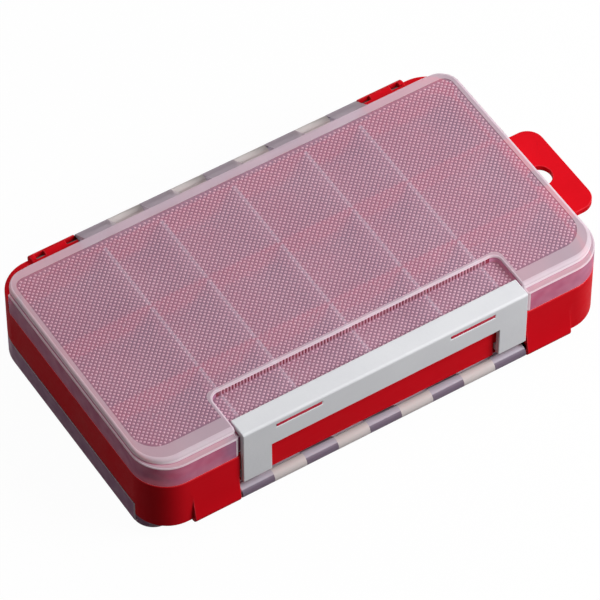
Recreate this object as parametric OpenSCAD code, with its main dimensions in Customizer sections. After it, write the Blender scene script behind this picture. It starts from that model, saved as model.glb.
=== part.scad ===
// Double-sided lure case: a red body with a tray on each face, a clear hinged lid
// over each tray, and a white latch that pivots in the body and hooks over each lid.
// The lower lid, latch, hinge and tray are the upper ones turned over about the long axis.
// Origin: middle of the lower lid's flat face. X runs along the case towards the hang tab,
// Y towards the upper lid's hinge and Z up.

/* [Body] */
// Length of the body, without the hang tab
body_l = 175; // [160:1:220]
// Width of the body, wall to wall
body_w = 102; // [92:1:130]
// Height of the case over both lids
case_h = 38; // [36:0.5:50]
// Radius of the body's upright corners
corner_r = 13; // [12:0.5:16]
// Height of the band of body that shows between the two lids
band_h = 15; // [14:0.5:17]
// Thickness of the floor that parts the two trays
floor_t = 1.6; // [1.2:0.1:2]
// Thickness of the tray's own wall
tray_wall_t = 1.5; // [1.2:0.1:1.8]
// Distance of the tray's wall inside the body's outer face
tray_inset = 2.9; // [2.9:0.1:3.4]
// Distance of the tray's wall inside the body's face on the hinge side
hinge_side_inset = 8.6; // [8.5:0.1:10]
// Depth of the tray walls' top edge below the lid's face
tray_drop = 4.6; // [4.4:0.1:6]
// Thickness of the body's wall round the cored-out trough
shell_t = 1.8; // [1.5:0.1:2.2]

/* [Lid] */
// Thickness of the lid's plate
lid_t = 1.5; // [1.2:0.1:1.8]
// Thickness of the lid's skirt
skirt_t = 1.4; // [1.2:0.1:1.4]
// Depth of the skirt's top ledge below the lid's face
ledge_drop = 2; // [1.6:0.1:2.4]
// Distance of the raised plate inside the skirt at the ends
plate_inset = 0.6; // [0.4:0.1:0.6]
// Distance of the raised plate inside the skirt at the latch side
plate_front_inset = 2.2; // [1.8:0.1:3]
// Distance of the plate's rear edge inside the body's hinge-side face
plate_rear_inset = 6.5; // [6.4:0.1:6.6]
// Radius of the plate's corners on the latch side
plate_r = 11.5; // [10:0.5:12]
// Radius of the plate's corners on the hinge side
plate_rear_r = 7.5; // [6:0.5:10]
// Depth of the textured panel below the lid's face
panel_drop = 0.2; // [0.1:0.05:0.3]
// Width of the smooth border at each end of the textured panel
panel_end_border = 2.6; // [2:0.1:6]
// Width of the smooth border along the panel's latch side
panel_front_border = 6.6; // [4:0.1:9]
// Width of the smooth border along the panel's hinge side
panel_rear_border = 3.5; // [3:0.1:7]
// Radius of the textured panel's corners on the hinge side
panel_rear_r = 3.5; // [1:0.5:5]
// Seam between the skirt's lower edge and the body
seam = 0.2; // [0.1:0.1:0.4]

/* [Hinge] */
// Depth of the hinge line below the lid's face
hinge_drop = 6.8; // [6.6:0.1:7.2]
// Distance of the hinge line inside the body's face
hinge_inset = 1; // [0.8:0.1:1.2]
// Outer radius of the lid's hinge barrel
barrel_r = 2.3; // [2:0.1:2.3]
// Outer radius of the body's hinge bosses
boss_r = 2.5; // [2.3:0.1:2.6]
// Radius of the steel hinge rod
rod_r = 0.9; // [0.7:0.05:1]
// Radial clearance round rods and latch pins
pin_fit = 0.06; // [0.03:0.01:0.1]
// Length of the hinge barrel
barrel_l = 109.4; // [90:0.2:112]
// Number of webs along the barrel, turn about over and under it
web_count = 9; // [5:2:13]
// Thickness of the webs that join the barrel to the lid
web_t = 1.5; // [1.2:0.1:1.5]
// Gap between the barrel and each boss
boss_gap = 0.6; // [0.3:0.1:1]
// Length of each boss
boss_l = 17.3; // [16:0.1:19]
// Thickness of the boss's closed end
boss_end_t = 1.8; // [1.5:0.1:2.5]
// Length of the boss's window next to the barrel
near_window_l = 4; // [3:0.1:5]
// Length of the boss's window next to its closed end
far_window_l = 3.4; // [3:0.1:4.5]
// Depth of the hinge-side wall's top below the lid's face
cheek_drop = 6; // [5.9:0.1:6.6]
// Length of corner, along the ends, that the hinge-side wall wraps
cheek_wrap = 11.7; // [10:0.1:13]

/* [Latch] */
// Width of the latch
latch_w = 108.8; // [90:0.2:112]
// Height of the latch
latch_h = 24.2; // [23.8:0.1:25]
// Depth of the latch's top face below the lid's face
latch_drop = 0.3; // [0.2:0.1:0.5]
// Distance that the latch's face stands out from the body's wall
latch_proud = 1.2; // [1.1:0.1:1.5]
// Thickness of the latch's face
latch_t = 2; // [1.8:0.1:2]
// Thickness of the flange that hooks over the lid
flange_t = 2.25; // [1.8:0.05:2.4]
// Depth of the flange from the latch's face
flange_d = 7.6; // [6:0.1:9]
// Height of the latch's upper bar
bar_h = 11.7; // [10:0.1:13]
// Width of each leg of the latch
leg_w = 10.9; // [8:0.1:13]
// Length of each slot under the flange
slot_l = 17.2; // [10:0.1:24]
// Height of each slot
slot_h = 1.3; // [0.8:0.1:1.6]
// Distance from the latch's middle to the middle of each slot
slot_x = 33.2; // [26:0.1:38]
// Radius of the latch's pivot pins
latch_pin_r = 0.9; // [0.7:0.05:1]
// Length of each pivot pin
latch_pin_l = 1.6; // [1.2:0.1:2]
// Radius of the knuckle at the foot of each leg
foot_r = 1.9; // [1.6:0.1:2]
// Distance of the pivot behind the latch's face
pivot_back = 2.9; // [2.8:0.1:3]
// Height of the pivot above the foot of the leg
pivot_up = 2.1; // [2:0.1:2.4]
// Clearance between the latch and the body and lid
latch_gap = 0.2; // [0.15:0.05:0.3]
// Depth of the lid's recess behind the latch
recess_drop = 2.8; // [2.6:0.1:3]
// Distance of the recess's rear wall behind the flange
recess_room = 12.1; // [6:0.1:16]
// Radius of the recess's rear corners
recess_r = 3; // [2:0.5:5]
// Gap between the ends of the latch and the body and lid
latch_end_gap = 0.5; // [0.3:0.1:1]

/* [Trays] */
// Number of rows in each tray
rows = 3; // [2:1:4]
// Thickness of the walls between rows
row_wall_t = 2; // [1.8:0.1:2.4]
// Width of the upper tray's four middle columns
wide_col = 28; // [22:0.5:32]
// Width of the upper tray's narrow columns
narrow_col = 21.7; // [16:0.1:24]
// Number of columns in the lower tray
lower_cols = 3; // [2:1:5]
// Thickness of a loose divider
divider_t = 1.2; // [1:0.1:1.4]
// Depth of the grooves that hold a divider
groove_d = 0.5; // [0.3:0.1:0.6]
// Clearance round a divider in its grooves
divider_gap = 0.1; // [0.05:0.05:0.2]

/* [Hang tab] */
// Distance that the tab stands out from the body's end
tab_out = 17.9; // [14:0.1:24]
// Width of the tab
tab_w = 39.6; // [24:0.2:60]
// Thickness of the tab
tab_t = 2.4; // [1.8:0.1:3]
// Radius of the tab's outer corners
tab_r = 6; // [3:0.5:9]
// Radius of the hang hole
hole_r = 4.5; // [3:0.25:6]
// Distance of the hang hole's centre from the body's end
hole_out = 7.2; // [6:0.1:10]

/* [Hidden] */
$fn = 64;
// A cut reaches this far past the face that it opens
past = 0.5;
mid_z = case_h / 2;
floor_top = mid_z + floor_t / 2;
half_l = body_l / 2;
half_w = body_w / 2;
band_top = mid_z + band_h / 2;
cheek_top = case_h - cheek_drop;
tray_top = case_h - tray_drop;
cheek_y = half_w - cheek_wrap;

// The tray block's outer and inner outlines
tray_rear = half_w - hinge_side_inset;
tray_front = -half_w + tray_inset;
tray_half_l = half_l - tray_inset;
tray_r = corner_r - tray_inset;
inner_rear = tray_rear - tray_wall_t;
inner_front = tray_front + tray_wall_t;
inner_half_l = tray_half_l - tray_wall_t;
inner_r = tray_r - tray_wall_t;
row_d = (inner_rear - inner_front - (rows - 1) * row_wall_t) / rows;

// Hinge line
hinge_y = half_w - hinge_inset;
hinge_z = case_h - hinge_drop;
rod_bore_r = rod_r + pin_fit;
half_barrel = barrel_l / 2;
web_l = barrel_l / web_count;
boss_x = half_barrel + boss_gap;
boss_end = boss_x + boss_l;
rod_end = boss_end - boss_end_t;
rod_end_gap = 0.3;
window_w = 2 * rod_r + 0.2;
window_floor = hinge_z - boss_r;

// Lid
plate_front = -half_w + plate_front_inset;
plate_rear = half_w - plate_rear_inset;
plate_half_l = half_l - plate_inset;
skirt_bottom = band_top + seam;
ledge_top = case_h - ledge_drop;
ledge_under = ledge_top - skirt_t;
plate_under = case_h - lid_t;
panel_z = case_h - panel_drop;
web_under = hinge_z - barrel_r + seam;
web_root_y = plate_rear - skirt_t + seam;
web_top = case_h - seam;
// Angle, about the hinge line, of the place where an outer web's face meets the barrel
web_angle = atan2(web_top - hinge_z, plate_rear - hinge_y)
    - acos(barrel_r / norm([web_top - hinge_z, plate_rear - hinge_y]));

// Latch and the recess that it drops into
latch_face = -half_w - latch_proud;
latch_back = latch_face + latch_t;
latch_top = case_h - latch_drop;
latch_foot = latch_top - latch_h;
bar_under = latch_top - bar_h;
flange_under = latch_top - flange_t;
pivot_y = latch_face + pivot_back;
pivot_z = latch_foot + pivot_up;
half_latch = latch_w / 2;
relief_x = half_latch + latch_end_gap;
relief_y = latch_back + latch_gap;
recess_floor = case_h - recess_drop;
recess_rear = latch_face + flange_d + recess_room;
slot_top = flange_under - latch_gap;
foot_sweep_r = norm([pivot_back, pivot_up]) + latch_gap;

// Divider places along the upper and lower trays
upper_cuts = [-wide_col - narrow_col, -wide_col, 0, wide_col, wide_col + narrow_col];
lower_pitch = 2 * inner_half_l / lower_cols;
lower_cuts = [for (i = [1:lower_cols - 1]) -inner_half_l + i * lower_pitch];
groove_w = divider_t + 2 * divider_gap;

function row_y(i) = inner_front + row_d / 2 + i * (row_d + row_wall_t);

// Turns a piece of the upper side over into its place on the lower side
module flip() {
    translate([0, 0, case_h]) rotate([180, 0, 0]) children();
}

module both_sides() {
    children();
    flip() children();
}

module both_ends() {
    children();
    mirror([1, 0, 0]) children();
}

// A slab with rounded upright corners, from its lowest to its highest corner
module slab(low, high, r) {
    two_radius_slab(low, high, r, r);
}

// The same slab, with its own radius for the two corners on the far side along Y
module two_radius_slab(low, high, r, far_r) {
    size = high - low;
    translate(low) linear_extrude(size.z) {
        translate([0, r]) square([size.x, size.y - r - far_r]);
        translate([r, 0]) square([size.x - 2 * r, size.y - far_r]);
        translate([far_r, r]) square([size.x - 2 * far_r, size.y - r]);
        for (x = [r, size.x - r]) translate([x, r]) circle(r);
        for (x = [far_r, size.x - far_r]) translate([x, size.y - far_r]) circle(far_r);
    }
}

// A box from its lowest to its highest corner
module box(low, high) {
    translate(low) cube(high - low);
}

// A rod along X between two places on a line
module x_rod(x0, x1, y, z, r) {
    translate([x0, y, z]) rotate([0, 90, 0]) cylinder(h = x1 - x0, r = r);
}

// A profile drawn in Y and Z, extruded along X
module x_profile(x0, x1, points) {
    translate([x0, 0, 0]) rotate([90, 0, 90]) linear_extrude(x1 - x0) polygon(points);
}

// Body: one moulding with both trays, the hinge bosses and the hang tab

module band() {
    slab([-half_l, -half_w, mid_z - band_h / 2], [half_l, half_w, band_top], corner_r);
}

module tray_block() {
    slab([-tray_half_l, tray_front, mid_z], [tray_half_l, tray_rear, tray_top], tray_r);
}

// The hinge-side wall, which wraps both corners and leaves room for the barrel
module cheeks() {
    difference() {
        intersection() {
            slab([-half_l, -half_w, mid_z], [half_l, half_w, cheek_top], corner_r);
            box([-half_l, cheek_y, mid_z], [half_l, half_w, cheek_top]);
        }
        box([-boss_x, tray_rear, band_top], [boss_x, half_w + past, cheek_top + past]);
    }
}

module boss() {
    flare_z = mid_z + tab_t;
    x_rod(boss_x, boss_end, hinge_y, hinge_z, boss_r);
    x_profile(boss_x, boss_end, [
        [tray_rear, mid_z], [half_w, flare_z], [hinge_y + boss_r, hinge_z],
        [hinge_y, hinge_z + boss_r], [hinge_y - boss_r, cheek_top], [tray_rear, cheek_top]]);
}

module boss_windows() {
    y0 = hinge_y - window_w / 2;
    y1 = hinge_y + window_w / 2;
    top = hinge_z + boss_r + past;
    box([boss_x - past, y0, window_floor], [boss_x + near_window_l, y1, top]);
    box([rod_end - far_window_l, y0, window_floor], [rod_end, y1, top]);
}

module tab() {
    linear_extrude(tab_t) difference() {
        union() {
            square([tab_out - tab_r, tab_w / 2]);
            square([tab_out, tab_w / 2 - tab_r]);
            translate([tab_out - tab_r, tab_w / 2 - tab_r]) circle(tab_r);
            mirror([0, 1]) {
                square([tab_out - tab_r, tab_w / 2]);
                square([tab_out, tab_w / 2 - tab_r]);
                translate([tab_out - tab_r, tab_w / 2 - tab_r]) circle(tab_r);
            }
            translate([-tray_inset, -tab_w / 2]) square([tray_inset, tab_w]);
        }
        translate([hole_out, 0]) circle(hole_r);
    }
}

// The hollow of one tray, with its row walls left standing
module tray_hollow() {
    difference() {
        slab([-inner_half_l, inner_front, floor_top],
             [inner_half_l, inner_rear, tray_top + past], inner_r);
        for (i = [1:rows - 1])
            box([-half_l, row_y(i) - row_d / 2 - row_wall_t, mid_z],
                [half_l, row_y(i) - row_d / 2, tray_top + past]);
    }
}

// Grooves for dividers at the given places along a tray
module grooves(cuts) {
    for (x = cuts, i = [0:rows - 1])
        box([x - groove_w / 2, row_y(i) - row_d / 2 - groove_d, floor_top],
            [x + groove_w / 2, row_y(i) + row_d / 2 + groove_d, tray_top + past]);
}

// Cored-out trough between the tray and the wall behind the latch of the other side
module hinge_trough() {
    trough_x = half_latch - leg_w - latch_end_gap - shell_t;
    box([-trough_x, tray_rear, floor_top],
        [trough_x, -relief_y - shell_t, band_top + past]);
}

// Room in the body for the latch: a flat behind it, a pocket for each foot, and pin holes
module latch_seat() {
    box([-relief_x, -half_w - past, mid_z - band_h / 2 - past],
        [relief_x, relief_y, band_top + past]);
    both_ends() {
        box([half_latch - leg_w - latch_end_gap, -half_w - past, mid_z - band_h / 2 - past],
            [relief_x, pivot_y, pivot_z + foot_r + latch_gap]);
        intersection() {
            x_rod(half_latch - leg_w - latch_end_gap, relief_x, pivot_y, pivot_z, foot_sweep_r);
            box([0, -half_w, 0], [half_l, half_w, pivot_z + foot_r + latch_gap]);
        }
        x_rod(relief_x - past, half_latch + latch_pin_l + latch_gap,
              pivot_y, pivot_z, latch_pin_r + pin_fit);
    }
}

module body() {
    color("crimson") difference() {
        union() {
            band();
            both_sides() {
                tray_block();
                cheeks();
                both_ends() boss();
            }
            translate([half_l, 0, mid_z - tab_t / 2]) tab();
        }
        both_sides() {
            tray_hollow();
            hinge_trough();
            latch_seat();
            both_ends() boss_windows();
            x_rod(-rod_end, rod_end, hinge_y, hinge_z, rod_bore_r);
        }
        grooves(upper_cuts);
        flip() grooves(lower_cuts);
    }
}

// Lid: plate, stepped skirt, latch recess and hinge barrel

module recess(grow) {
    slab([-relief_x - grow, -half_w - recess_r, recess_floor - grow],
         [relief_x + grow, recess_rear + grow, case_h + past], recess_r);
}

// The shallow field of the lid's face that carries its diamond texture
module panel() {
    difference() {
        two_radius_slab(
            [-plate_half_l + panel_end_border, plate_front + panel_front_border, panel_z],
            [plate_half_l - panel_end_border, plate_rear - panel_rear_border, case_h + past],
            plate_r - panel_end_border, panel_rear_r);
        recess(skirt_t);
    }
}

module lid_shell() {
    difference() {
        union() {
            intersection() {
                slab([-half_l, -half_w, skirt_bottom], [half_l, half_w, ledge_top], corner_r);
                box([-half_l, -half_w, skirt_bottom],
                    [half_l, cheek_y - seam, ledge_top]);
            }
            two_radius_slab([-plate_half_l, plate_front, cheek_top + seam],
                            [plate_half_l, plate_rear, case_h], plate_r, plate_rear_r);
            box([-half_barrel, plate_rear - plate_r, web_under],
                [half_barrel, plate_rear, web_top]);
        }
        difference() {
            union() {
                intersection() {
                    slab([-half_l + skirt_t, -half_w + skirt_t, 0],
                         [half_l - skirt_t, half_w, ledge_under], corner_r - skirt_t);
                    box([-half_l, -half_w, 0], [half_l, cheek_y - seam, case_h]);
                }
                two_radius_slab([-plate_half_l + skirt_t, plate_front + skirt_t, 0],
                                [plate_half_l - skirt_t, plate_rear - skirt_t, plate_under],
                                plate_r - skirt_t, plate_rear_r - skirt_t);
            }
            recess(skirt_t);
            box([-relief_x - skirt_t, -half_w, 0],
                [relief_x + skirt_t, relief_y + latch_gap + skirt_t, case_h]);
        }
        recess(0);
        panel();
        box([-relief_x, -half_w - past, 0], [relief_x, relief_y + latch_gap, case_h + past]);
    }
}

// A web over the barrel: from the plate's edge down to the barrel's outer side
module outer_web(x0) {
    inner_r = barrel_r - web_t;
    x_profile(x0, x0 + web_l, [
        [web_root_y, plate_under], [plate_rear, plate_under],
        [hinge_y + inner_r * cos(web_angle), hinge_z + inner_r * sin(web_angle)],
        [hinge_y + barrel_r * cos(web_angle), hinge_z + barrel_r * sin(web_angle)],
        [plate_rear, web_top], [web_root_y, web_top]]);
}

// A web under the barrel: from the foot of the lid's rear wall
module inner_web(x0) {
    box([x0, web_root_y, web_under], [x0 + web_l, hinge_y, web_under + web_t]);
}

module lid() {
    difference() {
        union() {
            lid_shell();
            x_rod(-half_barrel, half_barrel, hinge_y, hinge_z, barrel_r);
            for (i = [0:web_count - 1])
                if (i % 2 == 0) outer_web(-half_barrel + i * web_l);
                else inner_web(-half_barrel + i * web_l);
        }
        x_rod(-half_barrel - past, half_barrel + past, hinge_y, hinge_z, rod_bore_r);
    }
}

module upper_lid() {
    color("pink", 0.6) lid();
}

module lower_lid() {
    color("pink", 0.6) flip() lid();
}

// Latch: a bar with two legs, a flange that hooks over the lid, and pivot pins

module latch() {
    difference() {
        union() {
            box([-half_latch, latch_face, bar_under], [half_latch, latch_back, latch_top]);
            box([-half_latch, latch_face, flange_under],
                [half_latch, latch_face + flange_d, latch_top]);
            both_ends() {
                box([half_latch - leg_w, latch_face, latch_foot],
                    [half_latch, latch_back, bar_under]);
                x_rod(half_latch - leg_w, half_latch, pivot_y, pivot_z, foot_r);
                x_rod(half_latch, half_latch + latch_pin_l, pivot_y, pivot_z, latch_pin_r);
            }
        }
        both_ends()
            box([slot_x - slot_l / 2, latch_face - past, slot_top - slot_h],
                [slot_x + slot_l / 2, latch_back + past, slot_top]);
    }
}

module front_latch() {
    color("whitesmoke") latch();
}

module rear_latch() {
    color("whitesmoke") flip() latch();
}

// Hinge rods and dividers

module hinge_rod() {
    x_rod(-rod_end + rod_end_gap, rod_end - rod_end_gap, hinge_y, hinge_z, rod_r);
}

module upper_hinge_rod() {
    color("silver") hinge_rod();
}

module lower_hinge_rod() {
    color("silver") flip() hinge_rod();
}

module divider(x, row) {
    reach = row_d / 2 + groove_d - divider_gap;
    color("mistyrose", 0.7)
        box([x - divider_t / 2, row_y(row) - reach, floor_top],
            [x + divider_t / 2, row_y(row) + reach, tray_top]);
}

module upper_divider(row, place) {
    divider(upper_cuts[place - 1], row);
}

module lower_divider(row, place) {
    flip() divider(lower_cuts[place - 1], row);
}

body();
upper_lid();
lower_lid();
front_latch();
rear_latch();
upper_hinge_rod();
lower_hinge_rod();
upper_divider(0, 1);  // upper_divider_front_1
upper_divider(0, 2);  // upper_divider_front_2
upper_divider(0, 3);  // upper_divider_front_3
upper_divider(0, 4);  // upper_divider_front_4
upper_divider(0, 5);  // upper_divider_front_5
upper_divider(1, 1);  // upper_divider_middle_1
upper_divider(1, 2);  // upper_divider_middle_2
upper_divider(1, 3);  // upper_divider_middle_3
upper_divider(1, 4);  // upper_divider_middle_4
upper_divider(1, 5);  // upper_divider_middle_5
upper_divider(2, 1);  // upper_divider_rear_1
upper_divider(2, 2);  // upper_divider_rear_2
upper_divider(2, 3);  // upper_divider_rear_3
upper_divider(2, 4);  // upper_divider_rear_4
upper_divider(2, 5);  // upper_divider_rear_5
lower_divider(2, 1);  // lower_divider_front_1
lower_divider(2, 2);  // lower_divider_front_2
lower_divider(1, 1);  // lower_divider_middle_1
lower_divider(1, 2);  // lower_divider_middle_2
lower_divider(0, 1);  // lower_divider_rear_1
lower_divider(0, 2);  // lower_divider_rear_2
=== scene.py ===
"""Looks of a double-sided lure case: a red body with two trays, a clear textured lid over
each tray, and a white latch on each lid. Every length here is in metres."""
import math

import bmesh
import bpy
from mathutils import Matrix, Vector


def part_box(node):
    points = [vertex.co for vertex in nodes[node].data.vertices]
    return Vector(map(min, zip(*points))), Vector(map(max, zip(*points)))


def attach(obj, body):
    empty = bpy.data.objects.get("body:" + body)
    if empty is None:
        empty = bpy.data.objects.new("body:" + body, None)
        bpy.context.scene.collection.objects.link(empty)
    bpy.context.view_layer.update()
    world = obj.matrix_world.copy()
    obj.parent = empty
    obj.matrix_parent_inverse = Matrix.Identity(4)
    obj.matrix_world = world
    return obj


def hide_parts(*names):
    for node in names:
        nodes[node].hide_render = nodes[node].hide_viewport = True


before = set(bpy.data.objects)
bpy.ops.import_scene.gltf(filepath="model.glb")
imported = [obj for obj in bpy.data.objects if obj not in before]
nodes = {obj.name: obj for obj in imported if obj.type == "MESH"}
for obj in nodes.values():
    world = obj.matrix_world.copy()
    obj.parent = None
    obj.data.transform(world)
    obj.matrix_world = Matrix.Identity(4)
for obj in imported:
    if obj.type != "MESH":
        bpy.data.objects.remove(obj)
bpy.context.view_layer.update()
scene = bpy.context.scene

MM = 0.001

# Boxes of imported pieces, and the heights that follow from them
lid_low, lid_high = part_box("upper_lid")
latch_low, latch_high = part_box("front_latch")
case_top = lid_high.z
middle_z = case_top / 2
# Turns a piece of the upper side over into its place on the lower side
turned_over = Matrix.Translation((0, 0, case_top)) @ Matrix.Rotation(math.pi, 4, "X")

# Lid: the plate, and the sunk panel that carries the texture
plate_half = lid_high.x - 0.6 * MM
plate_front = lid_low.y + 2.2 * MM
plate_rear = 44.5 * MM
plate_front_corner = 11.5 * MM
plate_rear_corner = 7.5 * MM
ledge_z = case_top - 2 * MM
panel_z = case_top - 0.2 * MM
panel_half = plate_half - 2.6 * MM
panel_front = plate_front + 6.6 * MM
panel_rear = plate_rear - 3.5 * MM
panel_front_corner = 8.9 * MM
panel_rear_corner = 3.5 * MM
hinge_strip = 2 * MM

# Lid: the hinge barrel, and the webs that join it to the lid, turn about over and under it
half_barrel = 54.7 * MM
barrel_radius = 2.3 * MM
hinge_y, hinge_z = 50 * MM, 31.2 * MM
web_count = 9
web_length = 2 * half_barrel / web_count

# Lid: the recess that the latch drops into
recess_half = 54.9 * MM
recess_rear = -32.5 * MM
recess_z = case_top - 2.8 * MM
recess_rim = 1.0 * MM

# Diamonds of the lid's texture
diamond_pitch = 1.8 * MM
diamond_base = 0.56 * MM
diamond_tip = 0.26 * MM
diamond_sink = 0.05 * MM
diamond_margin = 0.25 * MM
recess_diamond_height = 0.15 * MM
recess_diamond_corners = 0.5 * MM, 3 * MM

# Ribs of the recess's rear wall, and the room they leave at its ends and its top
rib_pitch = 1.2 * MM
rib_radius = 0.32 * MM
rib_sides = 8
rib_end_room = 3.4 * MM
rib_top_room = 0.6 * MM
rib_sink = 0.3 * MM

# Slots of the latch, and the catches in them
slot_x = 33.2 * MM
slot_length = 17.2 * MM
slot_low, slot_high = 33.95 * MM, 35.25 * MM
catch_room = 0.06 * MM
catch_edge = 0.12 * MM
catch_wear = 0.3

# Radii of rounded edges
widest_radius = 2 * MM
shoulder_front, shoulder_ends = 1.9 * MM, 1.2 * MM
shoulder_hinge, shoulder_webs = 0.5 * MM, 0.12 * MM
recess_rim_radius = 0.7 * MM
panel_rim_radius = 0.08 * MM
ledge_radius = 0.45 * MM
skirt_end_radius = 1.3 * MM
hinge_strip_radius = 0.1 * MM
lid_edge_radius = 0.4 * MM
latch_bend_radius = 0.9 * MM
latch_edge_radius = 0.4 * MM
body_edge_radius = 0.3 * MM

# How far vertices are welded, what counts as near and as level, as flat and as sharp
WELD = 0.001 * MM
NEAR = 0.1 * MM
LEVEL = 0.02 * MM
FLAT = math.radians(0.6)
SHARP = math.radians(32)
SQUARE = 0.99


# ---------------------------------------------------------------- node trees

class Tree:
    """Adds nodes to a node tree and links them."""

    def __init__(self, tree):
        self.tree = tree

    def add(self, kind, inputs=None, **settings):
        node = self.tree.nodes.new(kind)
        for name, value in settings.items():
            setattr(node, name, value)
        for key, value in (inputs or {}).items():
            self.feed(node.inputs[key], value)
        return node

    def feed(self, socket, value):
        if isinstance(value, bpy.types.NodeSocket):
            self.tree.links.new(value, socket)
        else:
            socket.default_value = value

    def math(self, operation, a, b=0.0):
        return self.add("ShaderNodeMath", {0: a, 1: b}, operation=operation).outputs[0]

    def vector(self, operation, a, b=(0, 0, 0)):
        node = self.add("ShaderNodeVectorMath", {0: a, 1: b}, operation=operation)
        return node.outputs["Value" if operation == "LENGTH" else "Vector"]


class Finish(Tree):
    """A material: one Principled surface and the patterns that feed it."""

    def __init__(self, name):
        self.material = bpy.data.materials.new(name)
        self.material.use_nodes = True
        super().__init__(self.material.node_tree)
        self.surface = self.tree.nodes["Principled BSDF"]
        self.place = self.add("ShaderNodeTexCoord").outputs["Object"]

    def noise(self, size, stretch=(1, 1, 1), detail=3.0):
        """Noise whose lumps are about that size, drawn out along an axis by stretch."""
        scale = [1 / (size * s) for s in stretch]
        place = self.add("ShaderNodeMapping", {"Vector": self.place, "Scale": scale})
        noise = self.add("ShaderNodeTexNoise", {
            "Vector": place.outputs["Vector"], "Scale": 1.0, "Detail": detail})
        return noise.outputs["Fac"]

    def spread(self, value, low, high, start=0.3, end=0.7):
        """A pattern's values from start to end, spread from low to high."""
        node = self.add("ShaderNodeMapRange", {
            "Value": value, "From Min": start, "From Max": end,
            "To Min": low, "To Max": high})
        return node.outputs["Result"]

    def blend(self, share, a, b):
        """Colour a where share is 0 and b where it is 1."""
        node = self.add("ShaderNodeMix", data_type="RGBA")
        self.feed(node.inputs["Factor"], share)
        self.feed(node.inputs[6], a if not isinstance(a, tuple) else (*a, 1))
        self.feed(node.inputs[7], b if not isinstance(b, tuple) else (*b, 1))
        return node.outputs[2]

    def edges(self):
        """How much of a rounded edge each face is, as mark_edges keeps it."""
        return self.add("ShaderNodeAttribute", attribute_name="edge").outputs["Fac"]

    def bump(self, height, depth, under=None):
        inputs = {"Height": height, "Strength": 1.0, "Distance": depth}
        if under is not None:
            inputs["Normal"] = under
        return self.add("ShaderNodeBump", inputs).outputs["Normal"]

    def set(self, **sockets):
        for name, value in sockets.items():
            self.feed(self.surface.inputs[name.replace("_", " ")], value)
        return self.material


def moulded(name, light, dark, rough, worn=None, milky=None, **sockets):
    """Moulded plastic: cloudy colour, orange-peel skin, fine scuffs, and worn edges. milky is
    how opaque see-through plastic is on its faces and on its rounded edges."""
    finish = Finish(name)
    clouds = finish.noise(22 * MM)
    grain = finish.noise(1.1 * MM)
    scuffs = finish.noise(0.5 * MM, stretch=(14, 2, 2), detail=5.0)
    colour = finish.blend(finish.spread(clouds, 0, 1), dark, light)
    edges = finish.edges()
    if worn is not None:
        patchy = finish.spread(finish.noise(6 * MM), 0.15, 0.6)
        colour = finish.blend(finish.math("MULTIPLY", edges, patchy), colour, worn)
    if milky is not None:
        finish.set(Alpha=finish.spread(edges, *milky, start=0, end=1))
    skin = finish.bump(grain, 0.03 * MM)
    skin = finish.bump(scuffs, 0.012 * MM, under=skin)
    wear = finish.spread(scuffs, -0.05, 0.07)
    roughness = finish.math("ADD", finish.spread(clouds, rough - 0.04, rough + 0.04), wear)
    return finish.set(Base_Color=colour, Roughness=roughness, Normal=skin, **sockets)


def red_plastic():
    return moulded("red_plastic", light=(0.74, 0.005, 0.014), dark=(0.68, 0.004, 0.011),
                   rough=0.5, worn=(0.86, 0.06, 0.08), Specular_IOR_Level=0.03)


def white_plastic():
    return moulded("white_plastic", light=(0.78, 0.785, 0.81), dark=(0.74, 0.745, 0.775),
                   rough=0.5, worn=(0.86, 0.865, 0.89), Specular_IOR_Level=0.25)


def lid_plastic():
    """Milky see-through plastic of the lids' smooth parts."""
    return moulded("lid_plastic", light=(0.97, 0.78, 0.90), dark=(0.91, 0.72, 0.84),
                   rough=0.36, worn=(1.0, 0.90, 0.96), milky=(0.47, 0.66), Specular_IOR_Level=0.3)


def inner_plastic():
    """The same plastic on the lids' inner faces, which add little to what is seen."""
    return moulded("inner_plastic", light=(0.84, 0.68, 0.80), dark=(0.78, 0.62, 0.75),
                   rough=0.34, Alpha=0.1, Specular_IOR_Level=0.2)


def side_plastic():
    """The lids' sides: the same plastic, pinker, with a softly frosted skin and pale edges, where
    the pale is a painted highlight.
    """
    finish = Finish("side_plastic")
    clouds = finish.noise(5 * MM, detail=1.0)
    grain = finish.noise(1.1 * MM)
    edges = finish.edges()
    colour = finish.blend(finish.spread(clouds, 0, 1), (0.70, 0.26, 0.50), (0.80, 0.38, 0.61))
    # Pale rounded edges: a painted highlight along the sides' edges.
    colour = finish.blend(edges, colour, (1.0, 0.88, 0.95))
    frost = finish.spread(clouds, 0.46, 0.52)
    alpha = finish.math("MAXIMUM", frost, finish.math("MULTIPLY", edges, 0.8))
    skin = finish.bump(clouds, 0.04 * MM)
    skin = finish.bump(grain, 0.012 * MM, under=skin)
    return finish.set(Base_Color=colour, Alpha=alpha, Normal=skin,
                      Roughness=finish.spread(grain, 0.34, 0.44), Specular_IOR_Level=0.25)


def field_plastic():
    """The darker ground between the diamonds: its darkness is painted shade, for the dim trays seen
    through and the dark lines between the diamonds.
    """
    return moulded("field_plastic", light=(0.60, 0.36, 0.50), dark=(0.55, 0.32, 0.46),
                   rough=0.45, Alpha=0.45, Specular_IOR_Level=0.1)


def groove_plastic():
    """The recess's rear wall between its ribs: coloured dark red, for the body behind it."""
    return moulded("groove_plastic", light=(0.36, 0.04, 0.10), dark=(0.30, 0.03, 0.08),
                   rough=0.45, Alpha=0.6, Specular_IOR_Level=0.1)


def diamond_plastic():
    """The raised diamonds and ribs: the same plastic, paler and less clear, where the paleness is a
    painted highlight of the texture's facets.
    """
    return moulded("diamond_plastic", light=(1.0, 0.66, 0.78), dark=(0.95, 0.60, 0.72),
                   rough=0.34, Alpha=0.66, Specular_IOR_Level=0.35)


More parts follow.
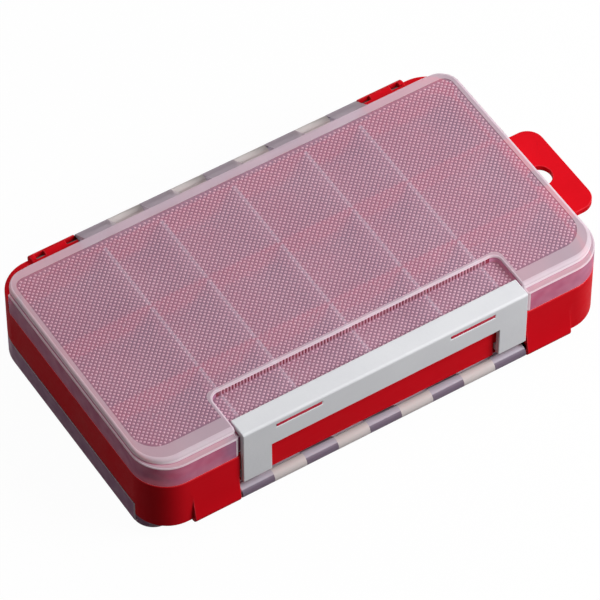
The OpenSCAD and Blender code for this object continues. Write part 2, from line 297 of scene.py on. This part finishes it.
def barrel_plastic():
    """The hinge barrel: cloudy where a web runs in under it, and in between pale on the side of
    the lid and dark on the far side, where the dark is painted shade for the shadowed gap and rod
    seen through it. The bands are colours set by place, for what shows through."""
    dark_from, dark_to = hinge_y + 1.2 * MM, hinge_y + 1.5 * MM
    finish = Finish("barrel_plastic")
    place = finish.add("ShaderNodeSeparateXYZ", {0: finish.place}).outputs
    webs = finish.math("DIVIDE", finish.math("ADD", place["X"], half_barrel), web_length)
    cloudy = finish.math("FLOORED_MODULO", finish.math("FLOOR", webs), 2.0)
    far = finish.spread(finish.math("ABSOLUTE", place["Y"]), 0, 1, start=dark_from, end=dark_to)
    grain = finish.noise(0.6 * MM, stretch=(8, 1, 1))
    # The dark colour is painted shade on the barrel's far side.
    between = finish.blend(far, (0.68, 0.62, 0.72), (0.24, 0.18, 0.25))
    colour = finish.blend(cloudy, between, (0.70, 0.63, 0.62))
    return finish.set(Base_Color=colour, Alpha=finish.spread(cloudy, 0.7, 0.9, start=0, end=1),
                      Normal=finish.bump(grain, 0.03 * MM),
                      Roughness=finish.spread(grain, 0.46, 0.6), Specular_IOR_Level=0.25)


def catch_plastic():
    """The catches that fill the latch's slots: coloured dark red, for the red seen there."""
    return moulded("catch_plastic", light=(0.56, 0.016, 0.05), dark=(0.50, 0.012, 0.04),
                   rough=0.4, worn=(0.66, 0.10, 0.15), Specular_IOR_Level=0.1)


def divider_plastic():
    return moulded("divider_plastic", light=(0.96, 0.95, 0.98), dark=(0.90, 0.89, 0.94),
                   rough=0.4, worn=(0.98, 0.97, 0.99), Alpha=0.94, Specular_IOR_Level=0.3)


def drawn_steel():
    """Drawn rod with fine marks along its length, its colour darkened as painted shade, for the rod
    seen in the shaded boss windows.
    """
    finish = Finish("drawn_steel")
    marks = finish.noise(0.12 * MM, stretch=(60, 1, 1), detail=4.0)
    stains = finish.noise(9 * MM)
    # Both colours are steel darkened as painted shade; the stains between them are the rod's own.
    colour = finish.blend(finish.spread(stains, 0, 1), (0.11, 0.10, 0.10), (0.22, 0.21, 0.20))
    return finish.set(
        Base_Color=colour, Metallic=1.0, Roughness=finish.spread(marks, 0.22, 0.42),
        Normal=finish.bump(marks, 0.01 * MM))


# ------------------------------------------------------------------- pieces

def add_piece(name, mesh, materials, body, slot, *replaced):
    """Links a finished mesh as a piece that rides on a body, and may stand for CAD nodes."""
    piece = bpy.data.objects.new(name, mesh)
    scene.collection.objects.link(piece)
    chosen = [face.material_index for face in mesh.polygons]
    mesh.materials.clear()
    for material in materials:
        mesh.materials.append(material)
    mesh.polygons.foreach_set("material_index", chosen)
    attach(piece, body)
    if replaced:
        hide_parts(*replaced)


def add_pair(mesh, materials, slot, above, below):
    """Adds a mesh of the upper side, and a copy of it turned over for the lower side. above and
    below each give a piece's name, its body and the CAD node that it stands for, if any."""
    turned = mesh.copy()
    turned.transform(turned_over)
    for part, (name, body, *replaced) in ((mesh, above), (turned, below)):
        add_piece(name, part, materials, body, slot, *replaced)


def finished_mesh(obj):
    """The object's mesh after its modifiers, with the object itself removed."""
    depsgraph = bpy.context.evaluated_depsgraph_get()
    depsgraph.update()
    mesh = bpy.data.meshes.new_from_object(
        obj.evaluated_get(depsgraph), preserve_all_data_layers=True, depsgraph=depsgraph)
    bpy.data.objects.remove(obj)
    return mesh


def rounded(node, radius_at, segments=3):
    """A node's mesh with its outer edges rounded; radius_at gives the radius at a place."""
    bm = bmesh.new()
    bm.from_mesh(nodes[node].data)
    bmesh.ops.remove_doubles(bm, verts=bm.verts, dist=WELD)
    bmesh.ops.dissolve_limit(bm, angle_limit=FLAT, verts=bm.verts, edges=bm.edges)
    weight = bm.edges.layers.float.new("bevel_weight_edge")
    for edge in bm.edges:
        if edge.is_manifold and edge.calc_face_angle_signed() > SHARP:
            middle = (edge.verts[0].co + edge.verts[1].co) / 2
            edge[weight] = radius_at(middle) / widest_radius
    mesh = bpy.data.meshes.new(node + "_rounded")
    bm.to_mesh(mesh)
    bm.free()
    mesh.materials.clear()
    for part in ("faces", "edges"):
        mesh.materials.append(bpy.data.materials.new(part))
    mesh.shade_smooth()
    draft = bpy.data.objects.new(node + "_draft", mesh)
    scene.collection.objects.link(draft)
    bevel = draft.modifiers.new("rounded_edges", "BEVEL")
    bevel.limit_method = "WEIGHT"
    bevel.width = widest_radius
    bevel.segments = segments
    bevel.use_clamp_overlap = False
    bevel.material = 1
    flat = draft.modifiers.new("flat_faces", "WEIGHTED_NORMAL")
    flat.keep_sharp = True
    mesh = finished_mesh(draft)
    mark_edges(mesh, [float(face.material_index) for face in mesh.polygons])
    mesh.polygons.foreach_set("material_index", [0] * len(mesh.polygons))
    return mesh


def mark_edges(mesh, shares):
    """Keeps in an attribute how much of a rounded edge each face is, for wear, and for the painted
    highlight on the lids' sides.
    """
    edge = mesh.attributes.new("edge", "FLOAT", "FACE")
    edge.data.foreach_set("value", shares)


def near(a, b, room=NEAR):
    return abs(a - b) < room


def shoulder_radius(x, y):
    """Radius of the plate's top edge: fullest at the front, and tight at the hinge webs."""
    beside_webs = 1 * MM
    if y > plate_rear - NEAR and x < half_barrel + beside_webs:
        return shoulder_webs
    if y < 0:
        corner, there = plate_front_corner, shoulder_front
        reach = plate_front + plate_front_corner - y
    else:
        corner, there = plate_rear_corner, shoulder_hinge
        reach = y - plate_rear + plate_rear_corner
    along = max(x - plate_half + corner, 0)
    share = math.atan2(max(reach, 0), along) / (math.pi / 2)
    return shoulder_ends + share * (there - shoulder_ends)


def lid_radius(place):
    """Radius of the lid's edges: a full shoulder round the plate, less elsewhere."""
    x, y, z = abs(place.x), place.y, place.z
    if near(z, case_top):
        if x < recess_half + recess_rim / 2 and y < recess_rear + recess_rim / 2:
            return recess_rim_radius
        if x < panel_half + NEAR and panel_front - NEAR < y < panel_rear + NEAR:
            return panel_rim_radius
        return shoulder_radius(x, y)
    if near(z, ledge_z):
        return ledge_radius
    if near(x, recess_half) and y < plate_front + NEAR:
        return skirt_end_radius
    if y > plate_rear - hinge_strip:
        return hinge_strip_radius
    return lid_edge_radius


def latch_radius(place):
    """Radius of the latch's edges, softest where its face turns into its flange."""
    if near(place.z, latch_high.z) and near(place.y, latch_low.y):
        return latch_bend_radius
    return latch_edge_radius


def body_radius(place):
    return body_edge_radius


def lid_finish(face):
    """Which of the lid's finishes a face of the upper lid has."""
    place, facing = face.center, face.normal
    in_recess = abs(place.x) < recess_half + recess_rim and place.y < recess_rear + recess_rim
    from_hinge = math.hypot(place.y - hinge_y, place.z - hinge_z)
    outward = facing.dot(place - Vector((0, 0, middle_z))) > 0
    if from_hinge < barrel_radius + NEAR and abs(place.x) < half_barrel + NEAR:
        return "barrel"
    if facing.z > SQUARE and near(place.z, panel_z, LEVEL):
        return "field"
    if in_recess and facing.z > SQUARE and near(place.z, recess_z, LEVEL):
        return "field"
    if near(place.y, recess_rear, LEVEL) and facing.y < -SQUARE:
        return "groove"
    if facing.z < -0.5 or not (outward or in_recess):
        return "inner"
    if abs(facing.z) < 0.3 and place.y < plate_rear - hinge_strip:
        return "side"
    return "smooth"


def add_lids(**finishes):
    """Both lids. finishes are their materials, by the names that lid_finish gives."""
    mesh = rounded("upper_lid", lid_radius)
    order = list(finishes)
    for face in mesh.polygons:
        face.material_index = order.index(lid_finish(face))
    add_pair(mesh, tuple(finishes.values()), "clear_lid",
             ("upper_lid_shell", "upper_lid", "upper_lid"),
             ("lower_lid_shell", "lower_lid", "lower_lid"))


def add_catches(material):
    """Catches on the lid's front wall that reach into the latch's slots."""
    front, rear = latch_low.y + catch_room, plate_front
    height = slot_high - slot_low - 2 * catch_room
    size = Vector((slot_length - 2 * catch_room, rear - front, height))
    bm = bmesh.new()
    for x in (-slot_x, slot_x):
        place = Matrix.Translation((x, (front + rear) / 2, (slot_low + slot_high) / 2))
        bmesh.ops.create_cube(bm, size=1, matrix=place @ Matrix.Diagonal((*size, 1)))
    bmesh.ops.bevel(bm, geom=bm.edges[:], offset=catch_edge, segments=2, affect="EDGES")
    mesh = bpy.data.meshes.new("catches")
    bm.to_mesh(mesh)
    bm.free()
    mark_edges(mesh, [catch_wear] * len(mesh.polygons))
    add_pair(mesh, (material,), "clear_lid",
             ("upper_catches", "upper_lid"), ("lower_catches", "lower_lid"))


def add_latches(plastic):
    mesh = rounded("front_latch", latch_radius)
    add_pair(mesh, (plastic,), "white_latch",
             ("front_latch_frame", "front_latch", "front_latch"),
             ("rear_latch_frame", "rear_latch", "rear_latch"))


def add_body(plastic):
    mesh = rounded("body", body_radius, segments=2)
    add_piece("case_body", mesh, (plastic,), "case", "red_body", "body")


# ---------------------------------------------------------- geometry nodes

def add_inputs(tree, inputs):
    """Adds a geometry tree's named inputs, each of the kind that suits its value."""
    kinds = {int: "NodeSocketInt", float: "NodeSocketFloat", tuple: "NodeSocketVector",
             bpy.types.Material: "NodeSocketMaterial"}
    sockets = {}
    for name, value in inputs.items():
        kind = kinds[type(value)]
        sockets[name] = tree.interface.new_socket(name=name, in_out="INPUT", socket_type=kind)
    return sockets


def geometry(name, inputs, build):
    """A mesh made by a geometry tree: build gets the tree and its inputs, and returns the shape."""
    group = bpy.data.node_groups.new(name, "GeometryNodeTree")
    sockets = add_inputs(group, inputs)
    group.interface.new_socket(name="Geometry", in_out="OUTPUT", socket_type="NodeSocketGeometry")
    tree = Tree(group)
    given = tree.add("NodeGroupInput").outputs
    shape = build(tree, given)
    solid = tree.add("GeometryNodeRealizeInstances", {"Geometry": shape})
    painted = tree.add("GeometryNodeSetMaterial", {
        "Geometry": solid.outputs[0], "Material": given["Material"]})
    tree.add("NodeGroupOutput", {"Geometry": painted.outputs[0]})
    draft = bpy.data.objects.new(name, bpy.data.meshes.new(name))
    scene.collection.objects.link(draft)
    modifier = draft.modifiers.new(name, "NODES")
    modifier.node_group = group
    for key, value in inputs.items():
        modifier[sockets[key].identifier] = value
    return finished_mesh(draft)


def diamond_field(tree, given):
    """Diamonds on a staggered grid, inside a field with round corners and outside a recess."""
    pitch = given["Pitch"]
    half = tree.math("MULTIPLY", pitch, 0.5)
    wide = tree.math("MULTIPLY", tree.math("SUBTRACT", given["Columns"], 1), pitch)
    deep = tree.math("MULTIPLY", tree.math("SUBTRACT", given["Rows"], 1), pitch)
    grid = tree.add("GeometryNodeMeshGrid", {
        "Size X": wide, "Size Y": deep,
        "Vertices X": given["Columns"], "Vertices Y": given["Rows"]}).outputs["Mesh"]
    step = tree.add("ShaderNodeCombineXYZ", {"X": half, "Y": half}).outputs[0]
    between = tree.add("GeometryNodeTransform", {"Geometry": grid, "Translation": step})
    both = tree.add("GeometryNodeJoinGeometry")
    for part in (grid, between.outputs[0]):
        tree.tree.links.new(part, both.inputs[0])
    placed = tree.add("GeometryNodeTransform", {
        "Geometry": both.outputs[0], "Translation": given["Centre"]})
    here = tree.add("GeometryNodeInputPosition").outputs[0]
    cone = tree.add("GeometryNodeMeshCone", {
        "Vertices": 4, "Radius Top": given["Tip"], "Radius Bottom": given["Base"],
        "Depth": given["Height"]})
    kept = tree.add("FunctionNodeBooleanMath", {
        0: inside_field(tree, given, here), 1: outside_recess(tree, given, here)},
        operation="AND").outputs[0]
    return tree.add("GeometryNodeInstanceOnPoints", {
        "Points": placed.outputs[0], "Selection": kept,
        "Instance": cone.outputs["Mesh"]}).outputs[0]


def inside_field(tree, given, here):
    """Whether a diamond's middle lies within the field's round-cornered outline."""
    offset = tree.vector("ABSOLUTE", tree.vector("SUBTRACT", here, given["Centre"]))
    flat = tree.vector("MULTIPLY", offset, (1, 1, 0))
    front = tree.add("FunctionNodeCompare", {
        0: tree.add("ShaderNodeSeparateXYZ", {0: here}).outputs["Y"],
        1: tree.add("ShaderNodeSeparateXYZ", {0: given["Centre"]}).outputs["Y"]},
        operation="LESS_THAN").outputs[0]
    corner = tree.add("GeometryNodeSwitch", {
        "Switch": front, "False": given["Rear Radius"], "True": given["Front Radius"]},
        input_type="FLOAT").outputs[0]
    inset = tree.add("ShaderNodeCombineXYZ", {"X": corner, "Y": corner}).outputs[0]
    straight = tree.vector("SUBTRACT", given["Half Size"], inset)
    beyond = tree.vector("MAXIMUM", tree.vector("SUBTRACT", flat, straight))
    reach = tree.math("ADD", tree.vector("LENGTH", beyond), given["Margin"])
    return tree.add("FunctionNodeCompare", {0: reach, 1: corner},
                    operation="LESS_THAN").outputs[0]


def outside_recess(tree, given, here):
    """Whether a diamond's middle lies outside the recess and its rim."""
    split = tree.add("ShaderNodeSeparateXYZ", {0: here}).outputs
    along = tree.math("SUBTRACT", tree.math("ABSOLUTE", split["X"]), given["Recess Half"])
    across = tree.math("SUBTRACT", split["Y"], given["Recess Rear"])
    clear = tree.math("MAXIMUM", along, across)
    return tree.add("FunctionNodeCompare", {0: clear, 1: given["Margin"]},
                    operation="GREATER_THAN").outputs[0]


def diamonds(name, low, high, corners, bottom, height, hole, material):
    """A mesh of diamonds over a field, from its lowest to its highest corner. corners are the
    radii of its front and rear corners."""
    centre = (low + high) / 2
    size = high - low
    return geometry(name, {
        "Pitch": diamond_pitch,
        "Columns": 1 + 2 * math.ceil(size.x / diamond_pitch / 2),
        "Rows": 1 + 2 * math.ceil(size.y / diamond_pitch / 2),
        "Centre": (centre.x, centre.y, bottom - diamond_sink),
        "Half Size": (size.x / 2, size.y / 2, 0.0),
        "Front Radius": corners[0],
        "Rear Radius": corners[1],
        "Margin": diamond_margin,
        "Recess Half": hole[0],
        "Recess Rear": hole[1],
        "Base": diamond_base,
        "Tip": diamond_tip,
        "Height": height + diamond_sink,
        "Material": material}, diamond_field)


def rib_row(tree, given):
    """Upright ribs in a row along X."""
    line = tree.add("GeometryNodeMeshLine", {
        "Count": given["Count"], "Start Location": given["Start"], "Offset": given["Step"]},
        mode="OFFSET")
    rib = tree.add("GeometryNodeMeshCylinder", {
        "Vertices": given["Sides"], "Radius": given["Radius"], "Depth": given["Height"]})
    return tree.add("GeometryNodeInstanceOnPoints", {
        "Points": line.outputs[0], "Instance": rib.outputs["Mesh"]}).outputs[0]


def recess_ribs(material):
    """Ribs on the recess's rear wall, half sunk in it."""
    reach = recess_half - rib_end_room
    count = 2 * int(reach / rib_pitch) + 1
    low, high = recess_z - rib_sink, case_top - rib_top_room
    return geometry("recess_ribs", {
        "Count": count,
        "Start": (-(count - 1) / 2 * rib_pitch, recess_rear, (low + high) / 2),
        "Step": (rib_pitch, 0.0, 0.0),
        "Sides": rib_sides,
        "Radius": rib_radius,
        "Height": high - low,
        "Material": material}, rib_row)


def add_texture(material):
    """The diamonds and ribs of both lids."""
    face = diamonds(
        "lid_diamonds", Vector((-panel_half, panel_front, 0)),
        Vector((panel_half, panel_rear, 0)), (panel_front_corner, panel_rear_corner), panel_z,
        case_top - panel_z, (recess_half + recess_rim, recess_rear + recess_rim), material)
    floor_low = Vector((-recess_half, latch_high.y, 0))
    floor_high = Vector((recess_half, recess_rear, 0))
    no_hole = 0.0, floor_low.y - 9 * MM  # ends well in front of the recess
    floor = diamonds(
        "recess_diamonds", floor_low, floor_high, recess_diamond_corners, recess_z,
        recess_diamond_height, no_hole, material)
    ribs = recess_ribs(material)
    for name, mesh in (("face_diamonds", face), ("recess_diamonds", floor), ("recess_ribs", ribs)):
        add_pair(mesh, (material,), "clear_lid",
                 ("upper_" + name, "upper_lid"), ("lower_" + name, "lower_lid"))


# ------------------------------------------------------------ stage and light

def add_camera():
    """The photograph's view: long lens, from the front left and well above."""
    pixels = 600
    focal_pixels = 4800
    shift_pixels_x, shift_pixels_y = -0.25, -5.03
    sensor = 36.0
    elevation, azimuth = math.radians(50.62), math.radians(32.32)
    distance = 1.5766
    target = Vector((0, 0, middle_z))
    out = Vector((-math.sin(azimuth) * math.cos(elevation),
                  -math.cos(azimuth) * math.cos(elevation), math.sin(elevation)))
    data = bpy.data.cameras.new("photo_view")
    data.sensor_width = sensor
    data.lens = sensor * focal_pixels / pixels
    data.shift_x = shift_pixels_x / pixels
    data.shift_y = shift_pixels_y / pixels
    camera = bpy.data.objects.new("photo_view", data)
    camera.location = target + distance * out
    camera.rotation_euler = (-out).to_track_quat("-Z", "Y").to_euler()
    scene.collection.objects.link(camera)
    scene.camera = camera


def add_lamp(name, place, size, energy):
    """A square soft box at a place, turned to the case."""
    data = bpy.data.lights.new(name, "AREA")
    data.size = size
    data.energy = energy
    lamp = bpy.data.objects.new(name, data)
    lamp.location = place
    lamp.rotation_euler = (-Vector(place)).to_track_quat("-Z", "Y").to_euler()
    scene.collection.objects.link(lamp)


def background_rays(tree):
    """1 for rays that see the background as the camera does, and 0 for those that light."""
    path = tree.add("ShaderNodeLightPath").outputs
    seen = tree.math("MAXIMUM", path["Is Camera Ray"], path["Is Glossy Ray"])
    return tree.math("MAXIMUM", seen, path["Is Transmission Ray"])


def direct_rays(tree):
    """1 for rays that have passed no see-through plastic yet, and 0 for the others."""
    path = tree.add("ShaderNodeLightPath").outputs
    return tree.math("LESS_THAN", path["Transparent Depth"], 0.5)


def add_world(ambient):
    world = bpy.data.worlds.new("studio")
    world.use_nodes = True
    scene.world = world
    tree = Tree(world.node_tree)
    surroundings = world.node_tree.nodes["Background"]
    seen = background_rays(tree)
    level = tree.add("ShaderNodeMapRange", {"Value": seen, "To Min": ambient, "To Max": 1.0})
    tree.feed(surroundings.inputs["Color"], (1, 1, 1, 1))
    tree.feed(surroundings.inputs["Strength"], level.outputs["Result"])


def add_floor():
    """A floor that glows white where it is seen bare, and is dark grey to other rays, such as
    those that light the case or look through a lid."""
    size = 6.0
    drop = 0.05 * MM
    hidden_grey, bare_grey = 0.12, 0.95
    bare_glow, camera_glow = 0.2, 0.77
    mesh = bpy.data.meshes.new("floor")
    bm = bmesh.new()
    bmesh.ops.create_grid(bm, x_segments=1, y_segments=1, size=size,
                          matrix=Matrix.Translation((0, 0, -drop)))
    bm.to_mesh(mesh)
    bm.free()
    material = bpy.data.materials.new("floor_paper")
    material.use_nodes = True
    tree = Tree(material.node_tree)
    tree.tree.nodes.clear()
    bare = tree.math("MULTIPLY", background_rays(tree), direct_rays(tree))
    camera = tree.math("MULTIPLY", bare, tree.add("ShaderNodeLightPath").outputs["Is Camera Ray"])
    grey = tree.add("ShaderNodeMapRange", {
        "Value": bare, "To Min": hidden_grey, "To Max": bare_grey})
    paper = tree.add("ShaderNodeBsdfDiffuse", {"Color": grey.outputs["Result"]})
    white = tree.add("ShaderNodeEmission", {"Color": (1, 1, 1, 1), "Strength": 1.0})
    glow = tree.math("ADD", tree.math("MULTIPLY", bare, bare_glow),
                     tree.math("MULTIPLY", camera, camera_glow))
    shown = tree.add("ShaderNodeMixShader", {0: glow, 1: paper.outputs[0], 2: white.outputs[0]})
    tree.add("ShaderNodeOutputMaterial", {"Surface": shown.outputs[0]})
    mesh.materials.append(material)
    floor = bpy.data.objects.new("floor", mesh)
    scene.collection.objects.link(floor)


def paint(material, *names):
    for name in names:
        nodes[name].data.materials.clear()
        nodes[name].data.materials.append(material)


add_camera()
add_world(ambient=0.085)
add_floor()
add_lamp("key", (0.40, -0.425, 0.525), 0.37, 5.5)
add_lamp("overhead", (-0.10, 0.09, 1.0), 0.4, 1.2)
add_lamp("left_edge", (-0.5, 0.55, 0.35), 0.3, 0.6)
add_lamp("back_fill", (0.35, 0.6, 0.35), 0.4, 1.2)

add_body(red_plastic())
add_lids(smooth=lid_plastic(), field=field_plastic(), groove=groove_plastic(),
         side=side_plastic(), inner=inner_plastic(), barrel=barrel_plastic())
add_catches(catch_plastic())
add_texture(diamond_plastic())
add_latches(white_plastic())
paint(drawn_steel(), "upper_hinge_rod", "lower_hinge_rod")
paint(divider_plastic(), *[name for name in nodes if "_divider_" in name])

scene.view_settings.view_transform = "Standard"
